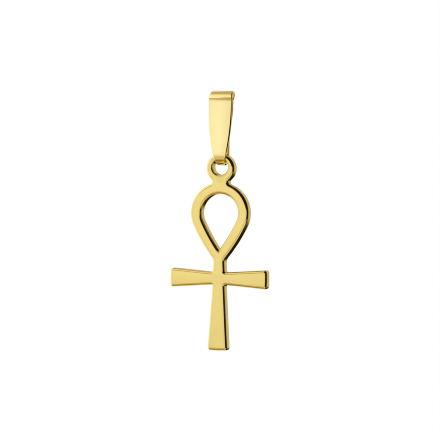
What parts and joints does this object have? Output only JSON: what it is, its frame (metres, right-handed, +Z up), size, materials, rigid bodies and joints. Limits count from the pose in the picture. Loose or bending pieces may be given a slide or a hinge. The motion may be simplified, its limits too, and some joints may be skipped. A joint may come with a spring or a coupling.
{
  "type": "ankh pendant",
  "caption": "Polished gold ankh pendant: a flat rounded plate with a teardrop loop, flared arms and stem, hung by its pierced eyelet from a tapered strap bail.",
  "frame": {"origin": "the chain's seat: the middle of the inside of the bail's top bend", "axes": "+Z up along the pendant, -Y towards the viewer of the polished front, +X to the right along the arms"},
  "size_m": [0.0102, 0.002, 0.026],
  "materials": {
    "bail_gold": "mirror-polished pale yellow gold sheet",
    "ankh_gold": "polished pale yellow gold with softly rounded edges and faint waviness"
  },
  "bodies": {
    "bail": {"bail": "bail_gold"},
    "ankh": {"ankh": "ankh_gold"}
  },
  "joints": [
    {"name": "ankh_swing", "type": "hinge", "parent": "bail", "child": "ankh", "pos_m": [0, 0, -0.00732], "axis": [0, 1, 0], "range_deg": [-150, 150]}
  ]
}
